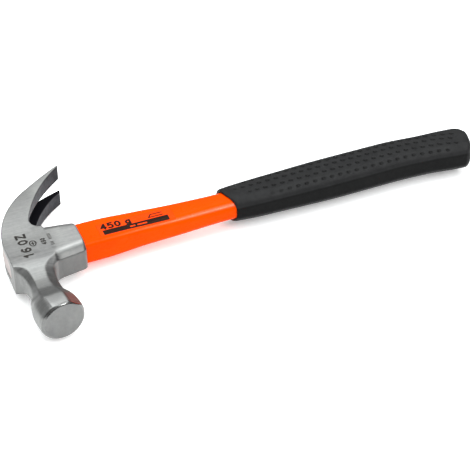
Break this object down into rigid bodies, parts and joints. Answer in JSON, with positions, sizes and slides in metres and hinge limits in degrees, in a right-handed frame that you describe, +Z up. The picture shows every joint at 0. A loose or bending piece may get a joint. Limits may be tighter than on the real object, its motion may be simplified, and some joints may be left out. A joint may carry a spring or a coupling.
{
  "type": "claw hammer",
  "caption": "Curved claw hammer with a forged steel head, a moulded jacket over a fibreglass core and a dimpled rubber grip.",
  "frame": {"origin": "bottom centre of the bounding box, the tool lying on its side", "axes": "+X along the handle from the top of the head to the butt, +Y from the striking face to the claw tips, +Z up through the cheeks"},
  "size_m": [0.333, 0.1318, 0.0332],
  "materials": {
    "forged_steel": "satin ground cheeks and face, darker forged claw underside",
    "fibreglass": "pultruded rod, natural",
    "resin": "cast epoxy, satin",
    "jacket_plastic": "glossy orange moulding",
    "label_print": null,
    "grip_rubber": "matt black with rows of small dimples"
  },
  "bodies": {
    "root": {"hammer_head": "forged_steel", "shaft_core": "fibreglass", "eye_resin": "resin", "shaft_jacket": "jacket_plastic", "label_film": "label_print", "grip_sleeve": "grip_rubber"}
  },
  "joints": []
}
